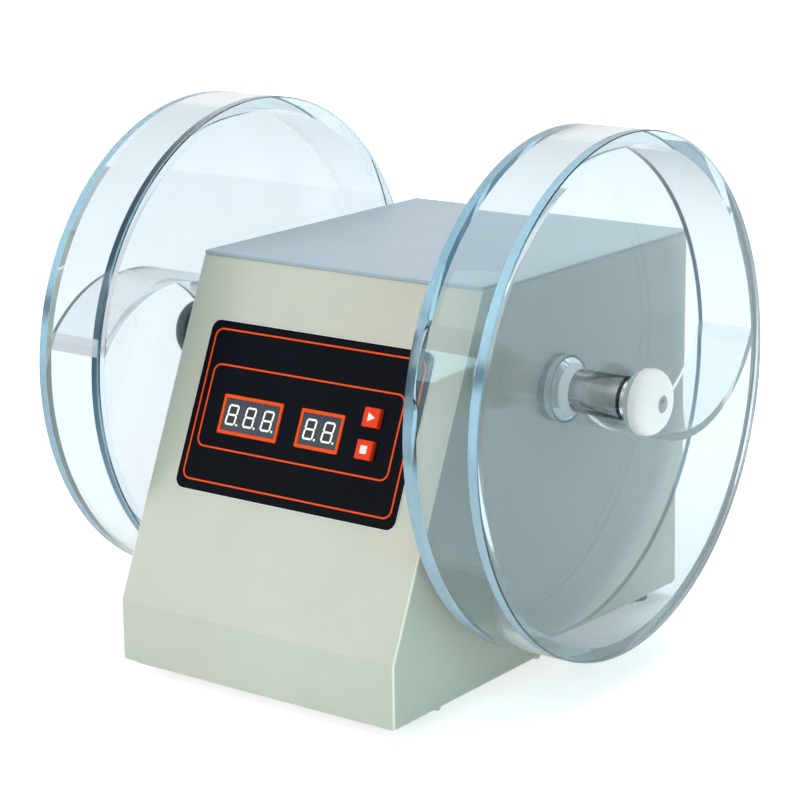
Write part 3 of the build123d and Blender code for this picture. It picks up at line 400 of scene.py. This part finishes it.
def piece(name, bm, material, body):
    """Turns a bmesh into a shaded object that rides on a CAD body."""
    bmesh.ops.recalc_face_normals(bm, faces=bm.faces)
    mesh = bpy.data.meshes.new(name)
    bm.to_mesh(mesh)
    bm.free()
    mesh.shade_smooth()
    mesh.set_sharp_from_angle(angle=SHARP_FROM)
    mesh.materials.append(material)
    made = bpy.data.objects.new(name, mesh)
    bpy.context.scene.collection.objects.link(made)
    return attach(made, body)


def loop_faces(bm, loops, closed=True):
    """Joins neighbouring loops of vertices with quads; closed also joins the last loop to the first."""
    pairs = list(zip(loops, loops[1:] + loops[:1])) if closed else list(zip(loops, loops[1:]))
    for one, other in pairs:
        for i in range(len(one)):
            k = (i + 1) % len(one)
            bm.faces.new((one[i], one[k], other[k], other[i]))


def revolved(profile, side, steps=256, machined=()):
    """A closed profile of (x, radius) points turned once round the shaft, on the right or left side.

    The strokes of the profile listed in machined get the piece's second material.
    """
    bm = bmesh.new()
    loops = []
    for step in range(steps):
        angle = 2 * pi * step / steps
        points = [(side * x, r * cos(angle), axis_height + r * sin(angle)) for x, r in profile]
        loops.append([bm.verts.new(p) for p in points])
    loop_faces(bm, loops)
    for number, face in enumerate(bm.faces):
        face.material_index = int(number % len(profile) in machined)
    return bm


def cut_pin_holes(hub, side):
    """Bores the two blind holes for the drive pins into a hub's foot."""
    cutter = bmesh.new()
    for y in (-pin_circle, pin_circle):
        middle = Vector((side * disc_low.x, y, axis_height))
        bmesh.ops.create_cone(
            cutter,
            cap_ends=True,
            segments=32,
            radius1=pin_hole_radius,
            radius2=pin_hole_radius,
            depth=2 * pin_hole_depth,
            matrix=Matrix.Translation(middle) @ Matrix.Rotation(pi / 2, 4, "Y"),
        )
    cutter_mesh = bpy.data.meshes.new("cutter")
    cutter.to_mesh(cutter_mesh)
    cutter.free()
    tool = bpy.data.objects.new("cutter", cutter_mesh)
    bpy.context.scene.collection.objects.link(tool)
    boolean = hub.modifiers.new("pin_holes", "BOOLEAN")
    boolean.operation = "DIFFERENCE"
    boolean.object = tool
    depsgraph = bpy.context.evaluated_depsgraph_get()
    cut_mesh = bpy.data.meshes.new_from_object(hub.evaluated_get(depsgraph))
    hub.modifiers.clear()
    hub.data = cut_mesh
    bpy.data.objects.remove(tool)


# Drums


def hub_outside(x):
    """The hub's outside radius at x: its foot narrows evenly from the back disc's outer face."""
    share = min((x - disc_low.x) / hub_foot_run, 1)
    return hub_foot_radius + (hub_radius - hub_foot_radius) * share


def drum_profile():
    """Back disc and wall in one outline, because cemented acrylic shows no joint."""
    face, inside, end = disc_low.x, disc_high.x, ring_high.x - JOINT_GAP
    return [
        (face, hub_outside(face) + JOINT_GAP),
        (face, drum_radius - bevel),
        (face + bevel, drum_radius),
        (inside, drum_radius),
        (end, drum_radius),
        (end, drum_radius - drum_wall),
        (inside, drum_radius - drum_wall),
        (inside, hub_outside(inside) + JOINT_GAP),
    ]


def hub_profile():
    """The hub tube, with its flared foot in the back disc."""
    face, end = disc_low.x, ring_high.x - JOINT_GAP
    return [
        (face, bore_radius),
        (face, hub_foot_radius),
        (face + hub_foot_run, hub_radius),
        (end, hub_radius),
        (end, bore_radius),
    ]


def vane_angle(radius, distance):
    """The angle at the centre of the vane's arc, from the shaft to where the arc is that far from it.

    It comes from the triangle of the shaft, the arc's centre and that place, by the law of cosines.
    """
    reach = vane_centre_distance
    return acos((reach**2 + radius**2 - distance**2) / (2 * reach * radius))


def vane_mesh(side, turn):
    """The curved vane from the hub's flare to the wall, as a slab bent along its arc."""
    first, last = disc_high.x + JOINT_GAP, ring_high.x - JOINT_GAP
    foot_end = disc_low.x + hub_foot_run
    foot_steps = 4
    stations = [first + (foot_end - first) * i / foot_steps for i in range(foot_steps + 1)]
    stations.append(last)
    arc_steps = 72
    inner_radius, outer_radius = vane_inside_radius, vane_inside_radius + vane_thickness
    centre_y = vane_centre_distance * cos(turn)
    centre_z = axis_height + vane_centre_distance * sin(turn)
    bm = bmesh.new()
    rows = []
    for x in stations:
        row = []
        for radius, order in ((inner_radius, 1), (outer_radius, -1)):
            start = vane_angle(radius, hub_outside(x) + JOINT_GAP)
            end = vane_angle(radius, drum_radius - drum_wall - JOINT_GAP)
            for i in range(arc_steps + 1)[::order]:
                angle = turn + pi + start + (end - start) * i / arc_steps
                y = centre_y + radius * cos(angle)
                z = centre_z + radius * sin(angle)
                row.append(bm.verts.new((side * x, y, z)))
        rows.append(row)
    loop_faces(bm, rows, closed=False)
    for row in (rows[0], rows[-1]):
        for i in range(arc_steps):
            bm.faces.new((row[i], row[i + 1], row[-2 - i], row[-1 - i]))
    return bm


def cover_profile():
    """The removable cover, bevelled on its outer edge."""
    return [
        (cover_low.x, cover_bore_radius),
        (cover_low.x, drum_radius),
        (cover_high.x - bevel, drum_radius),
        (cover_high.x, drum_radius - bevel),
        (cover_high.x, cover_bore_radius),
    ]


def collar_profile():
    """The clear collar: a short tube with a thin flange at its outer end."""
    flange_radius = (collar_high.z - collar_low.z) / 2
    flange_x = collar_high.x - collar_flange
    start = collar_low.x + JOINT_GAP
    end = collar_high.x - JOINT_GAP
    return [
        (start, cover_bore_radius),
        (start, hub_radius),
        (flange_x, hub_radius),
        (flange_x, flange_radius),
        (end, flange_radius),
        (end, cover_bore_radius),
    ]


for name, side in sides.items():
    acrylic = materials["acrylic"]
    body = f"{name}_drum"
    drum = piece(f"{name}_clear_drum", revolved(drum_profile(), side, machined=(1, 2)), acrylic, body)
    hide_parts(f"{name}_back_disc", f"{name}_drum_ring")
    hub_mesh = revolved(hub_profile(), side, steps=128, machined=(0, 1))
    hub = piece(f"{name}_clear_hub", hub_mesh, acrylic_tube, body)
    hub.data.materials.append(acrylic_turned)
    cut_pin_holes(hub, side)
    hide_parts(f"{name}_hub_tube")
    vane = piece(f"{name}_clear_vane", vane_mesh(side, vane_turn[name]), acrylic, body)
    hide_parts(f"{name}_vane")
    cover_mesh = revolved(cover_profile(), side, machined=(1, 2))
    cover = piece(f"{name}_clear_cover", cover_mesh, acrylic, f"{name}_cover")
    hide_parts(f"{name}_drum_cover")
    collar_mesh = revolved(collar_profile(), side, steps=96)
    collar = piece(f"{name}_clear_collar", collar_mesh, acrylic_tube, f"{name}_knob")
    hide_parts(f"{name}_collar")
    for edged in (drum, cover):
        edged.data.materials.append(acrylic_edge)


# Control panel graphics

lean = atan2(slope_run, top_high.z - cabinet_low.z - lip_height)
slope_origin = Vector((0, cabinet_low.y, cabinet_low.z + lip_height))
slope_up = Vector((0, sin(lean), cos(lean)))
slope_out = Vector((0, -cos(lean), sin(lean)))


def on_slope(u, v, out):
    """A point of the control panel, given in millimetres."""
    return slope_origin + (Vector((1, 0, 0)) * u + slope_up * v + slope_out * out) * MM


def rounded_rectangle(u, v, width, height, radius, steps=8):
    """The outline of a rectangle with round corners, counter-clockwise from its lower right corner."""
    points = []
    for corner, (right, up) in enumerate(((1, -1), (1, 1), (-1, 1), (-1, -1))):
        for step in range(steps + 1):
            angle = radians(90 * (corner - 1 + step / steps))
            points.append(
                (
                    u + right * (width / 2 - radius) + radius * cos(angle),
                    v + up * (height / 2 - radius) + radius * sin(angle),
                )
            )
    return points


def slab(bm, outline, low, high):
    """A thin plate with that outline, between two heights over the slope."""
    bottom = [bm.verts.new(on_slope(u, v, low)) for u, v in outline]
    top = [bm.verts.new(on_slope(u, v, high)) for u, v in outline]
    bm.faces.new(bottom)
    bm.faces.new(top)
    loop_faces(bm, [bottom, top], closed=False)


def band(bm, rectangle, width, low, high):
    """A thin printed band that follows a round-cornered rectangle, its middle on that line."""
    u, v, across, up, radius = rectangle
    outer = rounded_rectangle(u, v, across + width, up + width, radius + width / 2)
    inner = rounded_rectangle(u, v, across - width, up - width, radius - width / 2)
    loops = [
        [bm.verts.new(on_slope(*point, level)) for point in outline]
        for outline, level in ((outer, low), (outer, high), (inner, high), (inner, low))
    ]
    loop_faces(bm, loops)


def leaned(u, v, points):
    """Points given from the middle of a figure at u, v, with the figure's slant."""
    return [(u + a + digit_slant * b, v + b) for a, b in points]


def digit_segments(bm, u, v, low, high):
    """A lit figure eight and its decimal point: seven mitred strokes, leaning a little."""
    half_width, half_height = digit_size[0] / 2, digit_size[1] / 2
    half = digit_stroke / 2
    gap = segment_gap
    left, right = -half_width + half, half_width - half
    for level in (-half_height + half, 0, half_height - half):
        flat = [
            (left + gap, level),
            (left + half + gap, level - half),
            (right - half - gap, level - half),
            (right - gap, level),
            (right - half - gap, level + half),
            (left + half + gap, level + half),
        ]
        slab(bm, leaned(u, v, flat), low, high)
    for middle in (left, right):
        for bottom, top in ((-half_height + half, 0), (0, half_height - half)):
            upright = [
                (middle, bottom + gap),
                (middle + half, bottom + half + gap),
                (middle + half, top - half - gap),
                (middle, top - gap),
                (middle - half, top - half - gap),
                (middle - half, bottom + half + gap),
            ]
            slab(bm, leaned(u, v, upright), low, high)
    point_u, point_v = half_width + point_size, -half_height + half
    point = rounded_rectangle(point_u, point_v, point_size, point_size, point_corner, steps=3)
    slab(bm, leaned(u, v, point), low, high)


def digit_wells(bm, u, v, low, high):
    """The black insides of a digit's two loops."""
    half_height = digit_size[1] / 2
    width, height = digit_size[0] - digit_stroke, half_height - digit_stroke
    for middle in (-half_height / 2, half_height / 2):
        well = rounded_rectangle(0, middle, width, height, well_corner, steps=2)
        slab(bm, leaned(u, v, well), low, high)


printed_lines = bmesh.new()
for outline in (outer_line, inner_line):
    band(printed_lines, outline, line_width, panel_top, panel_top + ink)
lines = piece("panel_lines", printed_lines, materials["orange"], "root")

# The white band round the overlay is a painted highlight of its cut edge.
edge = bmesh.new()
highlight_size = [length + highlight_width for length in overlay_size]
highlight_line = (*panel_centre, *highlight_size, overlay_corner + highlight_width / 2)
band(edge, highlight_line, highlight_width, 0, highlight_top)
piece("overlay_edge_highlight", edge, edge_highlight_paint, "root")

segments = bmesh.new()
wells = bmesh.new()
separators = bmesh.new()
for window, count in ((turns_window, 3), (speed_window, 2)):
    u, v, width, height = window
    spots = [u + digit_pitch * (i - (count - 1) / 2) + digit_shift for i in range(count)]
    for spot in spots:
        digit_segments(segments, spot, v, window_top, window_top + ink)
        digit_wells(wells, spot, v, window_top, window_top + ink / 2)
    for one, other in zip(spots, spots[1:]):
        middle = (one + other) / 2 - digit_shift
        line = rounded_rectangle(middle, v, separator_width, height, separator_corner, steps=2)
        slab(separators, line, window_top, window_top + ink / 2)
piece("digit_segments", segments, digit_white, "root")
piece("digit_wells", wells, digit_well, "root")
piece("digit_separators", separators, separator_grey, "root")

start_mark = bmesh.new()
u, v = button_spots["start"]
slab(start_mark, [(u + a, v + b) for a, b in start_corners], button_top, button_top + ink)
piece("start_mark", start_mark, icon_white, "start_button")

reset_mark = bmesh.new()
u, v = button_spots["reset"]
square = rounded_rectangle(u, v, reset_square, reset_square, reset_corner, steps=3)
slab(reset_mark, square, button_top, button_top + ink)
piece("reset_mark", reset_mark, icon_white, "reset_button")


# Floor, world, lights and camera


LONGEST_WAY = 48  # bounces: light runs a long way between a disc's faces to its edge
FLOOR_REACH = 20  # metres to each side
FLOOR_PAINT = (0.88, 0.88, 0.865)
FLOOR_LIGHT = (0.6, 1.0, 0.96)  # the colour of its glow, where it only lights the object
FLOOR_GLOW = 0.27  # as light on the object
FLOOR_GLOW_THROUGH = 0.28  # as clear and shiny pieces show it, white
FLOOR_GLOW_SEEN = 0.6  # as the camera sees it, white


def seen_background(tree_nodes, links):
    """One for rays that show the background, straight or through clear and shiny pieces, else zero."""
    path = tree_nodes.new("ShaderNodeLightPath")
    total = path.outputs["Is Camera Ray"]
    for kind in ("Is Glossy Ray", "Is Transmission Ray"):
        larger = tree_nodes.new("ShaderNodeMath")
        larger.operation = "MAXIMUM"
        links.new(total, larger.inputs[0])
        links.new(path.outputs[kind], larger.inputs[1])
        total = larger.outputs["Value"]
    return total


def floor():
    """A large white floor that keeps the object's soft shadow."""
    bm = bmesh.new()
    bmesh.ops.create_grid(bm, x_segments=8, y_segments=8, size=FLOOR_REACH)
    mesh = bpy.data.meshes.new("floor")
    bm.to_mesh(mesh)
    bm.free()
    made, tree_nodes, links, shader = node_tree("floor_white")
    shader.inputs["Base Color"].default_value = (*FLOOR_PAINT, 1)
    shader.inputs["Roughness"].default_value = 1.0
    shader.inputs["Specular IOR Level"].default_value = 0.0
    seen = seen_background(tree_nodes, links)
    tone = ramp(tree_nodes, links, seen, [(0, FLOOR_LIGHT), (1, WHITE)])
    links.new(tone, shader.inputs["Emission Color"])
    glow = tree_nodes.new("ShaderNodeMapRange")
    glow.inputs["To Min"].default_value = FLOOR_GLOW
    glow.inputs["To Max"].default_value = FLOOR_GLOW_THROUGH
    links.new(seen, glow.inputs["Value"])
    path = tree_nodes.new("ShaderNodeLightPath")
    brighter = tree_nodes.new("ShaderNodeMath")
    brighter.operation = "MULTIPLY_ADD"
    brighter.inputs[1].default_value = FLOOR_GLOW_SEEN - FLOOR_GLOW_THROUGH
    links.new(path.outputs["Is Camera Ray"], brighter.inputs[0])
    links.new(glow.outputs["Result"], brighter.inputs[2])
    links.new(brighter.outputs["Value"], shader.inputs["Emission Strength"])
    mesh.materials.append(made)
    ground = bpy.data.objects.new("floor", mesh)
    bpy.context.scene.collection.objects.link(ground)


def studio_world():
    """White where it is seen, straight or through a clear piece; a softly graded studio as light."""
    world = bpy.data.worlds.new("studio")
    bpy.context.scene.world = world
    world.use_nodes = True
    tree = world.node_tree
    tree.nodes.clear()
    output = tree.nodes.new("ShaderNodeOutputWorld")
    place = tree.nodes.new("ShaderNodeTexCoord")
    split = tree.nodes.new("ShaderNodeSeparateXYZ")
    tree.links.new(place.outputs["Generated"], split.inputs["Vector"])
    # By the height of a direction: 0 at the horizon and below it, 1 straight up
    stops = [
        (0.0, (0.76, 0.88, 0.91)),
        (0.14, (0.68, 0.8, 0.84)),
        (0.32, (0.4, 0.46, 0.5)),
        (0.6, (0.5, 0.55, 0.58)),
        (1.0, (0.8, 0.84, 0.88)),
    ]
    around = tree.nodes.new("ShaderNodeBackground")
    tree.links.new(ramp(tree.nodes, tree.links, split.outputs["Z"], stops), around.inputs["Color"])
    white = tree.nodes.new("ShaderNodeBackground")
    white.inputs["Color"].default_value = (*WHITE, 1)
    either = tree.nodes.new("ShaderNodeMixShader")
    tree.links.new(seen_background(tree.nodes, tree.links), either.inputs["Fac"])
    tree.links.new(around.outputs["Background"], either.inputs[1])
    tree.links.new(white.outputs["Background"], either.inputs[2])
    tree.links.new(either.outputs["Shader"], output.inputs["Surface"])


def softbox(name, place, size, power, colour, mirrored=True):
    """A square area lamp that faces the drums' middle; mirrored ones show in shiny surfaces."""
    lamp = bpy.data.lights.new(name, "AREA")
    lamp.shape = "SQUARE"
    lamp.size = size
    lamp.energy = power
    lamp.color = colour
    made = bpy.data.objects.new(name, lamp)
    made.location = place
    made.rotation_mode = "QUATERNION"
    aim = Vector((0, 0, axis_height)) - Vector(place)
    made.rotation_quaternion = aim.to_track_quat("-Z", "Y")
    made.visible_glossy = mirrored
    bpy.context.scene.collection.objects.link(made)


def camera():
    """The photograph's camera, solved from the cabinet's edges and the drums' outlines."""
    target = Vector((-7.2, 3.0, 147.4)) * MM
    distance = 1503.3 * MM
    yaw, pitch, roll = radians(36.72), radians(14.49), radians(-0.71)
    focal_pixels = 2516.6
    image_pixels = 800
    forward = Vector((-sin(yaw) * cos(pitch), cos(yaw) * cos(pitch), -sin(pitch)))
    level_right = Vector((cos(yaw), sin(yaw), 0))
    level_up = level_right.cross(forward)
    right = cos(roll) * level_right + sin(roll) * level_up
    up = cos(roll) * level_up - sin(roll) * level_right
    data = bpy.data.cameras.new("camera")
    data.sensor_width = 36
    data.lens = data.sensor_width * focal_pixels / image_pixels
    data.clip_start = 0.05
    data.clip_end = 100
    made = bpy.data.objects.new("camera", data)
    axes = Matrix((right, up, -forward)).transposed().to_4x4()
    made.matrix_world = Matrix.Translation(target - forward * distance) @ axes
    bpy.context.scene.collection.objects.link(made)
    bpy.context.scene.camera = made


floor()
studio_world()
softbox("key", (-1.5, -2.3, 2.6), 1.6, 28, (1.0, 0.96, 0.87), mirrored=False)
softbox("front", (0.9, -2.4, 1.2), 0.8, 6, (1.0, 0.98, 0.92))
softbox("fill", (2.6, -0.9, 1.5), 1.0, 14, (0.1, 0.85, 0.95), mirrored=False)
softbox("top", (0.2, 0.9, 2.6), 1.6, 34, (0.88, 0.95, 1.0), mirrored=False)
softbox("glint", (-1.45, -1.95, 0.8), 0.5, 4, (1.0, 1.0, 1.0))
camera()
bpy.context.scene.view_settings.view_transform = "Standard"
bpy.context.scene.cycles.max_bounces = LONGEST_WAY
bpy.context.scene.cycles.glossy_bounces = LONGEST_WAY
bpy.context.scene.cycles.transmission_bounces = LONGEST_WAY
